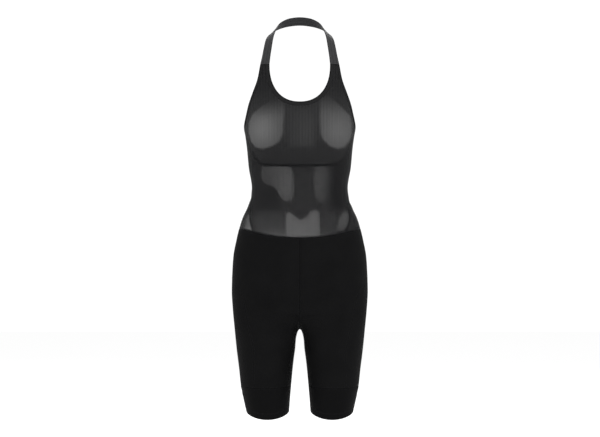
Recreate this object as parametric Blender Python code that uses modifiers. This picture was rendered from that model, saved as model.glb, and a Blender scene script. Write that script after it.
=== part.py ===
"""Halter-neck cycling bib shorts, filled out as when worn and hollow inside.

The front faces -Y, +Z is up and the wearer's left is +X. The origin is the middle of the inner
face of the neck strap, at the nape. Sizes are in millimetres until a mesh is made.

The body of the garment is one smooth surface in two coordinates. The first, u, goes round it:
0 is the centre front, 0.5 the side and 1 the centre back, and on a leg 1 to 1.5 and -0.5 to 0
go round the inner thigh to the inseam. The second is the height z.
Each panel is a grid of points on that surface between two seams, thickened outwards.
"""
import math

import bpy
import bmesh
import numpy as np

MM = 0.001
COLLECTION = "cycling_bib_shorts"

# Cloth walls, and the narrow gap left along a seam, wider where the grids on its sides don't line up
MESH_WALL = 1.0
JERSEY_WALL = 1.2
BAND_WALL = 1.5
BINDING_WALL = 1.7
STRAP_WALL = 1.8
SEAM_GAP = 0.3
WIDE_GAP = 0.45

# Heights of the main lines below the nape
STRAP_END_Z = -116.0
NECKLINE_Z = -207.0
UNDERARM_Z = -264.0
BACK_TOP_Z = -341.0
BACK_DIP_REACH, BACK_DIP_START = 0.27, 0.85
CHEST_ROW_Z = -242.0
SPLIT_Z = -696.0
CROTCH_Z = -737.5
LEG_TOP_Z = -783.0
BAND_Z = -871.0
WAIST_Z = -499.0
WAIST_DIP = 20.5
WAIST_BACK_DIP = 24.0
WAIST_POWER = 2.5
HEM_Z = -934.0
HEM_DIP = 12.0
HEM_POWER = 1.5

# Neckline, bindings and strap
NECKLINE_HALF_WIDTH = 69.8
NECKLINE_POWER = 2.25
NECK_BINDING_WIDTH = 10.0
ARM_BINDING_WIDTH = 7.0
STRAP_WIDTH = 22.0

# The part of each leg's round that faces the other leg, in degrees
INNER_THIGH_ARC = 80.0
INSEAM_U = -0.5

# The u of the sides, and the u where the heights of the bib's rows are set
SIDE_U = 0.5
ROW_U = 0.3

# Body sections: half width, how far front, side line and back lie behind the nape, squareness
BODY_COLUMNS = ("z", "half_width", "front", "side", "back", "power")
BODY = (
    (-110, 145.5, -130, -45, 50, 2.1),
    (-155, 142.0, -149, -45, 56, 2.1),
    (-207, 137.5, -166, -48, 57, 2.1),
    (-234, 134.0, -175, -52, 55, 2.1),
    (-264, 130.2, -181, -57, 51, 2.1),
    (-306, 124.3, -178, -61, 45, 2.1),
    (-354, 119.7, -161, -60, 34, 2.1),
    (-402, 112.6, -143, -56, 27, 2.1),
    (-426, 115.4, -139, -53, 28, 2.1),
    (-450, 124.0, -141, -50, 33, 2.15),
    (-474, 135.2, -145, -47, 42, 2.2),
    (-498, 142.9, -148, -44, 52, 2.2),
    (-526, 149.7, -150, -41, 63, 2.25),
    (-566, 157.2, -151, -37, 77, 2.3),
    (-606, 159.8, -147, -34, 86, 2.35),
    (-646, 161.0, -139, -32, 85, 2.45),
    (-696, 158.2, -125, -31, 70, 2.7),
)

# Leg sections: the inner and outer edge seen from the front, and the front and back
LEG_COLUMNS = ("z", "inner", "outer", "front", "back")
LEG = (
    (-783, 11.8, 149.9, -120, 60),
    (-806, 15.3, 147.0, -117, 55.5),
    (-830, 18.0, 143.9, -113, 50),
    (-871, 21.7, 139.4, -106, 40),
    (-906, 24.7, 132.4, -99, 33),
    (-934, 26.6, 126.3, -94, 28),
    (-948, 27.2, 124.5, -92, 26.5),
)

# Seams: where each one runs round the body at each height
BIB_SIDE_SEAM = ((-502, 0.256), (-476, 0.317), (-461, 0.344), (-442, 0.40), (-402, 0.485), (-264, 0.5))
FRONT_SIDE_SEAM = (
    (-871, 0.270), (-830, 0.266), (-783, 0.256), (-696, 0.262), (-666, 0.280), (-643, 0.317),
    (-628, 0.40), (-609, 0.50), (-586, 0.60), (-551, 0.70), (-490, 0.78),
)
SIDE_BACK_SEAM = ((-871, 0.75), (-783, 0.768), (-696, 0.80), (-606, 0.86), (-490, 0.90))

# Armhole edge of the bib from the underarm up to the strap: height and distance from the centre
ARMHOLE = (
    (-264, 130.2), (-250, 128.9), (-234, 124.7), (-207, 117.7), (-180, 107.9), (-152, 98.0), (-116, 91.4),
)

# Neck strap from the nape round to the front: its middle, and the way from its upper edge down
STRAP_COLUMNS = ("x", "y", "z", "edge_x", "edge_y", "edge_z")
STRAP = (
    (0, 0, 0, 0.00, 0.52, -0.85),
    (22, -2.5, -2.5, 0.12, 0.52, -0.85),
    (40, -11, -9, 0.28, 0.52, -0.80),
    (53, -26, -18.5, 0.46, 0.50, -0.73),
    (61, -46, -30, 0.66, 0.46, -0.59),
    (66.5, -62, -40, 0.80, 0.46, -0.38),
    (70.6, -77, -52, 0.86, 0.44, -0.27),
    (74.3, -94, -74, 0.89, 0.42, -0.18),
    (77.3, -106, -94, 0.91, 0.38, -0.14),
)

# Numbers of cells in the panels' grids
BIB_COLUMNS = 8
BIB_BACK_COLUMNS = 36
BIB_ROWS = 12
ARMHOLE_COLUMNS = 11
ARMHOLE_ROWS = 5
CHEST_ROWS = 5
FRONT_COLUMNS = 14
SIDE_COLUMNS = 8
BACK_COLUMNS = 4
INNER_COLUMNS = 4
HIP_ROWS = 12
LEG_ROWS = 4
BAND_COLUMNS = 28
BAND_ROWS = 3
STRAP_STATIONS = 44

# Rows of the crotch, the first a flat lip beside the seam
CROTCH_ROWS = (0.3, 0.52, 0.76)
LIP = 2.2
LIP_SHARE = 0.08
SADDLE_REACH = 0.25

# Small steps for slopes, and the distance within which shared points are joined
SMALL_U = 1e-4
SMALL_Z = 1e-2
HALF_MM = 0.5
MERGE_DISTANCE = 1e-7

COLOURS = {
    "power_mesh": (0.012, 0.012, 0.014, 1.0),
    "jersey": (0.008, 0.008, 0.009, 1.0),
    "leg_band": (0.010, 0.010, 0.011, 1.0),
    "binding": (0.006, 0.006, 0.007, 1.0),
    "elastic": (0.035, 0.035, 0.038, 1.0),
}
ROUGHNESS = {"power_mesh": 0.7, "jersey": 0.75, "leg_band": 0.6, "binding": 0.65, "elastic": 0.45}


def smooth(rows, column, at):
    """Read one column of a table at any height, by a cubic that never overshoots its rows."""
    table = np.array(rows, dtype=float)
    table = table[np.argsort(table[:, 0])]
    x, y = table[:, 0], table[:, column]
    step = np.diff(x)
    slope = np.diff(y) / step
    tangent = np.zeros(len(x))
    tangent[0], tangent[-1] = slope[0], slope[-1]
    for i in range(1, len(x) - 1):
        if slope[i - 1] * slope[i] > 0:
            before = 2 * step[i] + step[i - 1]
            after = step[i] + 2 * step[i - 1]
            tangent[i] = (before + after) / (before / slope[i - 1] + after / slope[i])
    at = np.asarray(at, dtype=float)
    i = np.clip(np.searchsorted(x, at) - 1, 0, len(x) - 2)
    t = np.clip((at - x[i]) / step[i], 0.0, 1.0)
    return ((1 + 2 * t) * (1 - t) ** 2 * y[i] + t * (1 - t) ** 2 * step[i] * tangent[i]
            + t * t * (3 - 2 * t) * y[i + 1] - t * t * (1 - t) * step[i] * tangent[i + 1])


def read(rows, columns, name, at):
    return smooth(rows, columns.index(name), at)


def power(value, exponent):
    return np.sign(value) * np.abs(value) ** exponent


def body_point(u, z):
    """A point on the bib or the hips, at u round from the centre front and height z."""
    u, z = np.broadcast_arrays(np.asarray(u, dtype=float), np.asarray(z, dtype=float))
    half_width, front, side, back, squareness = (
        read(BODY, BODY_COLUMNS, name, z) for name in BODY_COLUMNS[1:])
    across = power(np.sin(math.pi * u), 2 / squareness)
    along = power(np.cos(math.pi * u), 2 / squareness)
    depth = np.where(along > 0, side - front, back - side)
    return np.stack([half_width * across, side - depth * along, z], axis=-1)


def body_u(x, z):
    """The u of the front point that lies x from the centre at height z."""
    half_width = read(BODY, BODY_COLUMNS, "half_width", z)
    squareness = read(BODY, BODY_COLUMNS, "power", z)
    return np.arcsin(np.clip(x / half_width, 0, 1) ** (squareness / 2)) / math.pi


def leg_angle(u):
    """The turn round a leg's section at u, from 0 at its front."""
    start = INNER_THIGH_ARC / 2 - 90
    inner_front = start + INNER_THIGH_ARC * u
    outer_side = start + (180 - 2 * start) * u
    inner_back = 180 - start + INNER_THIGH_ARC * (u - 1)
    return np.radians(np.where(u < 0, inner_front, np.where(u > 1, inner_back, outer_side)))


def leg_point(u, z):
    """A point on the leg at +X, with the inner thigh at u below 0 and above 1."""
    u, z = np.broadcast_arrays(np.asarray(u, dtype=float), np.asarray(z, dtype=float))
    inner, outer, front, back = (read(LEG, LEG_COLUMNS, name, z) for name in LEG_COLUMNS[1:])
    angle = leg_angle(u)
    x = (inner + outer) / 2 + (outer - inner) / 2 * np.sin(angle)
    y = (front + back) / 2 - (back - front) / 2 * np.cos(angle)
    return np.stack([x, y, z], axis=-1)


def split_point(u):
    """The row where the hips part into legs: half a hip ring, closed below by the crotch seam."""
    u = np.asarray(u, dtype=float)
    front = read(BODY, BODY_COLUMNS, "front", SPLIT_Z)
    back = read(BODY, BODY_COLUMNS, "back", SPLIT_Z)
    ring = body_point(np.clip(u, 0, 1), SPLIT_Z)
    turn = math.pi * np.where(u < 0, -u, u - 1)
    towards = np.where(u < 0, -1, 1)
    seam = np.stack([np.zeros_like(u), (front + back) / 2 + towards * (back - front) / 2 * np.cos(turn),
                     SPLIT_Z + (CROTCH_Z - SPLIT_Z) * np.sin(turn)], axis=-1)
    outside = ((u < 0) | (u > 1))[..., None]
    return np.where(outside, seam, ring)


def saddle_weight(u):
    """1 along the inner thigh, falling to 0 on the way round to the outer side."""
    beyond = np.clip(np.minimum(u, 1 - u), 0, None)
    return np.cos(math.pi / 2 * np.clip(beyond / SADDLE_REACH, 0, 1)) ** 2


def crotch_point(u, share):
    """Between the split row at share 0 and the top of the leg at share 1."""
    start, end = split_point(u), leg_point(u, LEG_TOP_Z)
    weight = saddle_weight(u)
    across = (1 - weight) * share + weight * np.sin(math.pi / 2 * share)
    down = (1 - weight) * share + weight * (1 - np.cos(math.pi / 2 * share))
    part = np.stack([across, np.full_like(across, share), down], axis=-1)
    return start + (end - start) * part


def lip_row(u):
    """A narrow row beside the crotch seam that leaves the middle plane at a right angle."""
    start, end = split_point(u), leg_point(u, LEG_TOP_Z)
    weight = saddle_weight(u)[..., None]
    return start + weight * np.array([LIP, 0, 0]) + (1 - weight) * LIP_SHARE * (end - start)


def leg_hem_z(u):
    return HEM_Z - HEM_DIP * np.clip(np.cos(leg_angle(u)), 0, 1) ** HEM_POWER


def waist_z(u):
    """Height of the seam between bib and shorts, which dips in front and at the back."""
    towards_front = np.cos(math.pi * np.asarray(u, dtype=float))
    dip = WAIST_DIP * np.clip(towards_front, 0, 1) ** WAIST_POWER
    return WAIST_Z - dip - WAIST_BACK_DIP * np.clip(-towards_front, 0, 1) ** WAIST_POWER


def seam_shift(surface, u, level, sense, slope=0.0):
    """Move a seam's u by half the seam gap, square to the seam where it slopes."""
    step = surface(u + SMALL_U, level) - surface(u - SMALL_U, level)
    speed = np.linalg.norm(step, axis=-1) / (2 * SMALL_U)
    return u + sense * SEAM_GAP / 2 * np.hypot(1, slope * speed) / speed


def spread(first, last, cells):
    return np.linspace(first, last, cells + 1)


def edge_inset(line, width):
    """The line on the body that runs beside an edge, given as (u, z) points, at a distance."""
    inset = []
    for i, (u, z) in enumerate(line):
        before, after = line[max(i - 1, 0)], line[min(i + 1, len(line) - 1)]
        along_u = (body_point(u + SMALL_U, z) - body_point(u - SMALL_U, z)) / (2 * SMALL_U)
        along_z = (body_point(u, z + SMALL_Z) - body_point(u, z - SMALL_Z)) / (2 * SMALL_Z)
        along_edge = body_point(*after) - body_point(*before)
        away = np.cross(along_edge, np.cross(along_u, along_z))
        away *= width / np.linalg.norm(away)
        step = np.linalg.lstsq(np.stack([along_u, along_z], axis=1), away, rcond=None)[0]
        inset.append((u + step[0], z + step[1]))
    return np.array(inset)


def neckline():
    """Half the neckline, from its lowest point up to the strap, as (u, z) points."""
    turn = spread(0, math.pi / 2, BIB_COLUMNS + ARMHOLE_COLUMNS - ARMHOLE_ROWS)
    x = NECKLINE_HALF_WIDTH * np.sin(turn) ** (2 / NECKLINE_POWER)
    depth = STRAP_END_Z - NECKLINE_Z
    z = STRAP_END_Z - depth * np.clip(np.cos(turn), 0, 1) ** (2 / NECKLINE_POWER)
    return np.stack([body_u(x, z), z], axis=-1)


def armhole():
    """The edge from the underarm up to the strap, as (u, z) points."""
    rows = [(i, z, float(body_u(x, z))) for i, (z, x) in enumerate(ARMHOLE)]
    at = spread(0, len(ARMHOLE) - 1, ARMHOLE_COLUMNS)
    return np.stack([smooth(rows, 2, at), smooth(rows, 1, at)], axis=-1)


def back_top():
    """The top edge of the back from one side seam to the other, as (u, z) points."""
    u = spread(SIDE_U, 2 - SIDE_U, BIB_BACK_COLUMNS)
    share = np.clip((0.5 - np.abs(u - 1)) / BACK_DIP_REACH, 0, 1)
    dip = (1 - share) ** 2 * share * BACK_DIP_START + share ** 2 * (3 - 2 * share)
    return np.stack([u, UNDERARM_Z + (BACK_TOP_Z - UNDERARM_Z) * dip], axis=-1)


def neck_inset(width):
    line = edge_inset(neckline(), width)
    line[0, 0] = 0
    line[-1, 1] = STRAP_END_Z
    return line


def meet(line, u):
    """The (u, z) point where a line crosses a given u."""
    order = np.argsort(line[:, 0])
    return u, float(np.interp(u, line[order, 0], line[order, 1]))


def arm_inset(width):
    line = edge_inset(armhole(), -width)
    line[0] = meet(line, SIDE_U)
    line[-1, 1] = STRAP_END_Z
    return line


def back_inset(width):
    line = edge_inset(back_top(), width)
    line[0], line[-1] = meet(line, SIDE_U), meet(line, 2 - SIDE_U)
    return line


def between(first, second, shares):
    """Rows of (u, z) points from one line to another."""
    return first + (second - first) * np.asarray(shares)[:, None, None]


def on_body(lines):
    return body_point(lines[..., 0], lines[..., 1])


def both_halves(grid):
    """A grid from the centre out to +X, with its mirror image, as one grid from -X to +X."""
    mirrored = grid[:, :0:-1] * np.array([-1, 1, 1])
    return np.concatenate([mirrored, grid], axis=1)


def make_material(name):
    material = bpy.data.materials.new(name)
    material.use_nodes = True
    shader = material.node_tree.nodes["Principled BSDF"]
    shader.inputs["Base Color"].default_value = COLOURS[name]
    shader.inputs["Roughness"].default_value = ROUGHNESS[name]
    shader.inputs["Metallic"].default_value = 0.0
    return material


def cloth(name, grids, wall, material, side=1, ring=False):
    """Thicken grids of points, joined where they share points, into one named piece of cloth."""
    mesh = bpy.data.meshes.new(name)
    shape = bmesh.new()
    for grid in grids:
        points = grid * np.array([side, 1, 1]) * MM
        rows = [[shape.verts.new(point) for point in row] for row in points]
        if ring:
            rows = [row + row[:1] for row in rows]
        for upper, lower in zip(rows, rows[1:]):
            for i in range(len(upper) - 1):
                shape.faces.new((upper[i], lower[i], lower[i + 1], upper[i + 1]))
    bmesh.ops.remove_doubles(shape, verts=shape.verts, dist=MERGE_DISTANCE)
    if side < 0:
        bmesh.ops.reverse_faces(shape, faces=shape.faces)
    shape.to_mesh(mesh)
    shape.free()
    mesh.shade_smooth()
    piece = bpy.data.objects.new(name, mesh)
    bpy.data.collections[COLLECTION].objects.link(piece)
    piece.data.materials.append(material)
    thickness = piece.modifiers.new("wall", "SOLIDIFY")
    thickness.thickness = wall * MM
    thickness.offset = 1.0
    thickness.use_even_offset = True
    return piece


def bib_front(material):
    """The mesh front: rows up to the armholes' steep part, then rows that turn round the neckline."""
    neck, arm = neck_inset(NECK_BINDING_WIDTH + SEAM_GAP), arm_inset(ARM_BINDING_WIDTH + SEAM_GAP)
    neck[-1, 1] = arm[-1, 1] = STRAP_END_Z - SEAM_GAP / 2
    underarm_z = arm[0, 1]
    rows = []
    for share in spread(0, 1, BIB_ROWS):
        middle = waist_z(ROW_U) + (underarm_z - waist_z(ROW_U)) * share
        u = spread(0, seam_u(BIB_SIDE_SEAM, body_point, middle, -1), BIB_COLUMNS)
        z = waist_z(u) + WIDE_GAP / 2
        rows.append(np.stack([u, z + (underarm_z - z) * share], axis=-1))
    for i, (end_u, end_z) in enumerate(arm[1:ARMHOLE_ROWS + 1], start=1):
        middle_z = underarm_z + (CHEST_ROW_Z - underarm_z) * i / ARMHOLE_ROWS
        out = spread(0, 1, BIB_COLUMNS)
        rows.append(np.stack([end_u * out, middle_z + (end_z - middle_z) * out ** 2], axis=-1))
    waist = np.array(rows)
    outer = np.concatenate([waist[-1], arm[ARMHOLE_ROWS + 1:]])
    chest = between(outer, neck, (1 - np.cos(spread(0, math.pi, CHEST_ROWS))) / 2)
    waist_grid, chest_grid = both_halves(on_body(waist)), both_halves(on_body(chest))
    return cloth("bib_front", [waist_grid[::-1], chest_grid[::-1]], MESH_WALL, material)


def bib_back(material):
    """The plain mesh back, with a low top edge that dips towards the middle."""
    top = back_inset(ARM_BINDING_WIDTH + WIDE_GAP)
    shift = top[:, 0] - spread(SIDE_U, 2 - SIDE_U, BIB_BACK_COLUMNS)
    rows = []
    for share in spread(0, 1, BIB_ROWS):
        middle = waist_z(ROW_U) + (top[0, 1] - waist_z(ROW_U)) * share
        side = seam_u(BIB_SIDE_SEAM, body_point, middle, 1)
        u = spread(side, 2 - side, BIB_BACK_COLUMNS) + shift * share
        bottom_z = waist_z(u) + WIDE_GAP / 2
        rows.append(body_point(u, bottom_z + (np.interp(u, top[:, 0], top[:, 1]) - bottom_z) * share))
    return cloth("bib_back", [np.array(rows)[::-1]], MESH_WALL, material)


def bindings(material):
    """Narrow folded bands round the neckline, the armholes and the top of the back."""
    neck = between(neck_inset(NECK_BINDING_WIDTH), neckline(), (0, 0.5, 1))
    neck[:, -1, 1] -= SEAM_GAP / 2
    pieces = [cloth("neck_binding", [both_halves(on_body(neck))[::-1]], BINDING_WALL, material)]
    arm = between(arm_inset(ARM_BINDING_WIDTH), armhole(), (0, 1))
    arm[:, -1, 1] -= SEAM_GAP / 2
    arm[:, 0, 0] = seam_shift(body_point, arm[:, 0, 0], arm[:, 0, 1], -1)
    for label, side in (("left", 1), ("right", -1)):
        pieces.append(cloth(f"armhole_binding_{label}", [on_body(arm)], BINDING_WALL, material, side))
    back = between(back_inset(ARM_BINDING_WIDTH), back_top(), (0, 1))
    for column, sense in ((0, 1), (-1, -1)):
        back[:, column, 0] = seam_shift(body_point, back[:, column, 0], back[:, column, 1], sense)
    pieces.append(cloth("back_binding", [on_body(back)[::-1]], BINDING_WALL, material))
    return pieces


def hip_grid(first, last, columns):
    """Rows of a panel from the waist seam to the split row, between two seams."""
    rows = []
    for share in spread(0, 1, HIP_ROWS):
        nominal = waist_z(SIDE_U) + (SPLIT_Z - waist_z(SIDE_U)) * share
        u = spread(first(body_point, nominal), last(body_point, nominal), columns)
        top = waist_z(u) - WIDE_GAP / 2
        rows.append(body_point(u, top + (SPLIT_Z - top) * share))
    return np.array(rows)


def leg_grid(first, last, columns):
    """Rows of a panel from the split row down to the leg band, between two seams."""
    def crotch_surface(u, z):
        return crotch_point(u, (z - SPLIT_Z) / (LEG_TOP_Z - SPLIT_Z))

    u = spread(first(crotch_surface, SPLIT_Z), last(crotch_surface, SPLIT_Z), columns)
    rows = [split_point(u), lip_row(u)]
    for share in CROTCH_ROWS:
        z = SPLIT_Z + (LEG_TOP_Z - SPLIT_Z) * share
        rows.append(crotch_point(spread(first(crotch_surface, z), last(crotch_surface, z), columns), share))
    for z in spread(LEG_TOP_Z, BAND_Z + WIDE_GAP / 2, LEG_ROWS):
        rows.append(leg_point(spread(first(leg_point, z), last(leg_point, z), columns), z))
    return np.array(rows)


def seam_u(table, surface, z, sense):
    """The u of a seam at one height, from its table, moved by half a gap to one side."""
    slope = smooth(table, 1, z + HALF_MM) - smooth(table, 1, z - HALF_MM)
    return seam_shift(surface, smooth(table, 1, z), z, sense, slope)


def seam(table, sense):
    """One side of a seam that follows a table."""
    def line(surface, z):
        return seam_u(table, surface, z, sense)

    return line


def fixed(u, sense=0):
    """A seam, or with no sense a grid line, that stays at one u."""
    def line(surface, z):
        return seam_shift(surface, u, z, sense) if sense else u

    return line


def clear_of_middle(grid):
    """Hold a panel of one half of the shorts off the seam in the middle plane."""
    held = grid.copy()
    held[..., 0] = np.maximum(held[..., 0], SEAM_GAP / 2)
    return held


def shorts(material, band_material):
    """Front, side and back panel and leg band of each half of the shorts."""
    front_edge, back_edge = seam(FRONT_SIDE_SEAM, -1), seam(SIDE_BACK_SEAM, 1)
    front = [
        hip_grid(fixed(0), front_edge, FRONT_COLUMNS),
        leg_grid(fixed(0), front_edge, FRONT_COLUMNS),
        leg_grid(fixed(INSEAM_U, 1), fixed(0), INNER_COLUMNS),
    ]
    side_panel = [
        hip_grid(seam(FRONT_SIDE_SEAM, 1), seam(SIDE_BACK_SEAM, -1), SIDE_COLUMNS),
        leg_grid(seam(FRONT_SIDE_SEAM, 1), seam(SIDE_BACK_SEAM, -1), SIDE_COLUMNS),
    ]
    back = [
        hip_grid(back_edge, fixed(1), BACK_COLUMNS),
        leg_grid(back_edge, fixed(1), BACK_COLUMNS),
        leg_grid(fixed(1), fixed(2 + INSEAM_U, -1), INNER_COLUMNS),
    ]
    around = spread(INSEAM_U, 2 + INSEAM_U, BAND_COLUMNS)[:-1]
    band = []
    for share in spread(0, 1, BAND_ROWS):
        top = BAND_Z - WIDE_GAP / 2
        band.append(leg_point(around, top + (leg_hem_z(around) - top) * share))
    for label, sign in (("left", 1), ("right", -1)):
        for name, grids in (("front", front), ("side", side_panel), ("back", back)):
            held = [clear_of_middle(grid) for grid in grids]
            cloth(f"shorts_{name}_{label}", held, JERSEY_WALL, material, sign)
        cloth(f"leg_band_{label}", [np.array(band)], BAND_WALL, band_material, sign, ring=True)


def neck_strap(material):
    """The elastic strap, from the bib on one side round the nape to the bib on the other."""
    end_z = STRAP_END_Z + SEAM_GAP / 2
    inner = body_point(body_u(NECKLINE_HALF_WIDTH, STRAP_END_Z), end_z)
    outer = body_point(body_u(ARMHOLE[-1][1], STRAP_END_Z), end_z)
    rows = list(STRAP)
    rows.append((*((inner + outer) / 2), *((outer - inner) / STRAP_WIDTH)))
    half = np.array(rows, dtype=float)
    flip = np.array([-1, 1, 1, -1, 1, 1])
    whole = np.concatenate([half[:0:-1] * flip, half])
    run = np.concatenate([[0], np.cumsum(np.linalg.norm(np.diff(whole[:, :3], axis=0), axis=1))])
    table = np.column_stack([run, whole])
    columns = ("run", *STRAP_COLUMNS)
    at = spread(0, run[-1], STRAP_STATIONS)
    middle = np.stack([read(table, columns, name, at) for name in STRAP_COLUMNS[:3]], axis=-1)
    edge = np.stack([read(table, columns, name, at) for name in STRAP_COLUMNS[3:]], axis=-1)
    across = np.array([-0.5, 0.0, 0.5])[:, None, None] * STRAP_WIDTH
    return cloth("neck_strap", [middle + edge * across], STRAP_WALL, material)


def main():
    for item in list(bpy.data.objects):
        bpy.data.objects.remove(item, do_unlink=True)
    collection = bpy.data.collections.new(COLLECTION)
    bpy.context.scene.collection.children.link(collection)
    materials = {name: make_material(name) for name in COLOURS}
    neck_strap(materials["elastic"])
    bib_front(materials["power_mesh"])
    bib_back(materials["power_mesh"])
    bindings(materials["binding"])
    shorts(materials["jersey"], materials["leg_band"])


main()
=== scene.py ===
"""Dressed model of halter-neck cycling bib shorts: a sheer mesh bib on an elastic neck strap,
and close jersey shorts with leg bands, filled out as when worn and hollow inside.

The front faces -Y, +Z is up and the wearer's left is +X. Sizes are in millimetres until a mesh is
made. The surface is described by u, which goes round it (0 is the centre front, 0.5 the side, 1 the
centre back, and -0.5 to 0 and 1 to 1.5 the inner thigh), and by the height z.
"""
import math

import bpy
import numpy as np
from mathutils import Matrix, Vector
from mathutils.bvhtree import BVHTree
from mathutils.kdtree import KDTree


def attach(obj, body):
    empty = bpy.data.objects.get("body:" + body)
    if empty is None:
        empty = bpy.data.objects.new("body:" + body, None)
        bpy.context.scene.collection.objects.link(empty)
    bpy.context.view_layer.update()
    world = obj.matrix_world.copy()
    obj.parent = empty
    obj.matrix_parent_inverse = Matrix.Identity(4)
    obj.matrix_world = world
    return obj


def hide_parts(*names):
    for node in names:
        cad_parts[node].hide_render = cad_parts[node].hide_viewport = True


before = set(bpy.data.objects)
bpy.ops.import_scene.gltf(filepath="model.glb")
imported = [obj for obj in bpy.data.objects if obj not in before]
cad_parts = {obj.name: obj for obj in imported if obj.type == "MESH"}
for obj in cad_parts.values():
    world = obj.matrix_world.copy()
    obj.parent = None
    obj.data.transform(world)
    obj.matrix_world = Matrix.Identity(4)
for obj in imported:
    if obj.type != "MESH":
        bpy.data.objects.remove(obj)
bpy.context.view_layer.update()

MM = 0.001

# Cloth: how far it stands off the inner face of its solid, its thickness and the gaps between pieces
MESH_LIFT, MESH_CLOTH = 0.25, 0.5
JERSEY_LIFT, JERSEY_CLOTH = 0.2, 0.85
BAND_LIFT, BAND_CLOTH = 0.25, 1.05
SEAM_GAP = 0.12
WAIST_GAP = 0.16
# Cut edges roll inwards and tuck under the bindings, and the mesh lets less light through at seams
ROLL_DEPTH, ROLL_REACH = 0.42, 1.3
TUCK_DEPTH, TUCK_MARGIN, TUCK_FADE = 1.0, 0.2, 1.2
SEAM_LETS, SEAM_LETS_FADE = 0.2, (1.5, 3.6)
# How grids are smoothed at the ends of the crotch seam, and at the rows where two surfaces meet
RELAX_TIMES, RELAX_REACH, RELAX_FADE = 10, 26, 14
FILTER_TIMES, FILTER_REACH, FILTER_CLEAR = 12, 9, (1, 9)
BOUNDARY_STEP, WELD_STEP = 0.5, 0.001

# Heights of the main lines below the nape
STRAP_END_Z = -116.0
NECKLINE_Z = -207.0
UNDERARM_Z = -264.0
BACK_TOP_Z = -341.0
BACK_DIP_REACH, BACK_DIP_START = 0.27, 0.85
CHEST_ROW_Z = -242.0
SPLIT_Z = -696.0
CROTCH_Z = -737.5
LEG_TOP_Z = -783.0
BAND_Z = -871.0
WAIST_Z = -499.0
WAIST_DIP, WAIST_BACK_DIP, WAIST_POWER = 20.5, 24.0, 2.5
HEM_Z, HEM_DIP, HEM_POWER = -934.0, 12.0, 1.5
FLOOR_Z = -1250.0

# The neckline, how far the mesh reaches under the bindings, and the strap
NECKLINE_HALF_WIDTH, NECKLINE_POWER = 69.8, 2.25
NECK_BINDING_WIDTH, NECK_UNDERLAP = 10.0, 5
ARM_BINDING_WIDTH, ARM_UNDERLAP = 7.0, 4
STRAP_WIDTH, STRAP_THICKNESS, STRAP_LAP = 22.0, 1.8, 1.3
STRAP_RIBS, RIB_STEPS, RIB_HEIGHT, RIB_UNDER = 7, 6, 0.22, 0.6
STRAP_LIP, STRAP_LIP_START = 0.5, 0.46
STRAP_SMOOTHING = 5

# The turn of a leg's section that is inner thigh, in degrees, and the u of some lines
INNER_THIGH_ARC = 80.0
INSEAM_U = -0.5
SIDE_U = 0.5
ROW_U = 0.3
SADDLE_REACH = 0.25
SMALL_U, SMALL_Z, JUST_BELOW = 1e-4, 1e-2, 1e-6

BODY_COLUMNS = ("z", "half_width", "front", "side", "back", "power")
BODY = (
    (-110, 145.5, -130, -45, 50, 2.1),
    (-155, 142.0, -149, -45, 56, 2.1),
    (-207, 137.5, -166, -48, 57, 2.1),
    (-234, 134.0, -175, -52, 55, 2.1),
    (-264, 130.2, -181, -57, 51, 2.1),
    (-306, 124.3, -178, -61, 45, 2.1),
    (-354, 119.7, -161, -60, 34, 2.1),
    (-402, 112.6, -143, -56, 27, 2.1),
    (-426, 115.4, -139, -53, 28, 2.1),
    (-450, 124.0, -141, -50, 33, 2.15),
    (-474, 135.2, -145, -47, 42, 2.2),
    (-498, 142.9, -148, -44, 52, 2.2),
    (-526, 149.7, -150, -41, 63, 2.25),
    (-566, 157.2, -151, -37, 77, 2.3),
    (-606, 159.8, -147, -34, 86, 2.35),
    (-646, 161.0, -139, -32, 85, 2.45),
    (-696, 158.2, -125, -31, 70, 2.7),
)
LEG_COLUMNS = ("z", "inner", "outer", "front", "back")
LEG = (
    (-783, 11.8, 149.9, -120, 60),
    (-806, 15.3, 147.0, -117, 55.5),
    (-830, 18.0, 143.9, -113, 50),
    (-871, 21.7, 139.4, -106, 40),
    (-906, 24.7, 132.4, -99, 33),
    (-934, 26.6, 126.3, -94, 28),
    (-948, 27.2, 124.5, -92, 26.5),
)

# Seams: where each one runs round the body, as rows of (z, u), and the armhole's edge, as (z, x)
BIB_SIDE_SEAM = ((-502, 0.256), (-476, 0.317), (-461, 0.344), (-442, 0.40), (-402, 0.485), (-264, 0.5))
FRONT_SIDE_SEAM = (
    (-871, 0.270), (-830, 0.266), (-783, 0.256), (-696, 0.262), (-666, 0.280), (-643, 0.317),
    (-628, 0.40), (-609, 0.50), (-586, 0.60), (-551, 0.70), (-490, 0.78),
)
SIDE_BACK_SEAM = ((-871, 0.75), (-783, 0.768), (-696, 0.80), (-606, 0.86), (-490, 0.90))
ARMHOLE = (
    (-264, 130.2), (-250, 128.9), (-234, 124.7), (-207, 117.7), (-180, 107.9), (-152, 98.0), (-116, 91.4),
)
STRAP_COLUMNS = ("x", "y", "z", "edge_x", "edge_y", "edge_z")
STRAP = (
    (0, 0, 0, 0.00, 0.52, -0.85),
    (22, -2.5, -2.5, 0.12, 0.52, -0.85),
    (40, -11, -9, 0.28, 0.52, -0.80),
    (53, -26, -18.5, 0.46, 0.50, -0.73),
    (61, -46, -30, 0.66, 0.46, -0.59),
    (66.5, -62, -40, 0.80, 0.46, -0.38),
    (70.6, -77, -52, 0.86, 0.44, -0.27),
    (74.3, -94, -74, 0.89, 0.42, -0.18),
    (77.3, -106, -94, 0.91, 0.38, -0.14),
)

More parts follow.
